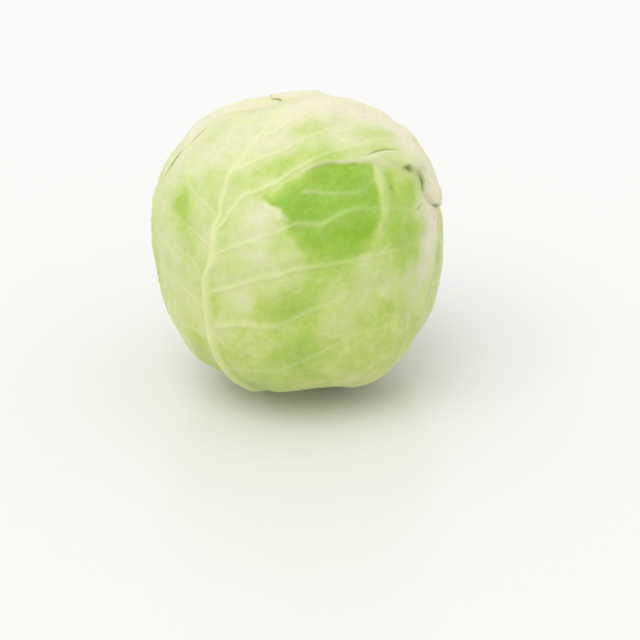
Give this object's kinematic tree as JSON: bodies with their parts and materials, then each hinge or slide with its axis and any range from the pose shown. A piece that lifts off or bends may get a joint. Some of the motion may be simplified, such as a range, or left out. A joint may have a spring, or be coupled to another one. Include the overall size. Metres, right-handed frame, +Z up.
{
  "type": "cabbage head",
  "caption": "Whole head of white cabbage: a packed heart on a trimmed stalk, wrapped in broad overlapping leaves with raised midribs and side veins.",
  "frame": {"origin": "centre of the stalk's cut face, on the surface that the head rests on", "axes": "+Z up along the stalk towards the crown, -Y towards the viewer, +X to the viewer's right"},
  "size_m": [0.1773, 0.1805, 0.1807],
  "materials": {
    "leaf_1_front_blade": "waxy leaf, semi-matt",
    "leaf_2_right_blade": "waxy leaf, semi-matt",
    "leaf_3_left_blade": "waxy leaf, semi-matt",
    "leaf_4_back_blade": "waxy leaf, semi-matt",
    "leaf_5_right_inner_blade": "waxy leaf, semi-matt",
    "leaf_6_left_inner_blade": "waxy leaf, semi-matt",
    "packed_heart": "pale leaf, semi-matt",
    "cut_stalk": "cut stalk, matt"
  },
  "bodies": {
    "root": {"leaf_1_front": "leaf_1_front_blade", "leaf_2_right": "leaf_2_right_blade", "leaf_3_left": "leaf_3_left_blade", "leaf_4_back": "leaf_4_back_blade", "leaf_5_right_inner": "leaf_5_right_inner_blade", "leaf_6_left_inner": "leaf_6_left_inner_blade", "heart": "packed_heart", "stalk": "cut_stalk"}
  },
  "joints": []
}
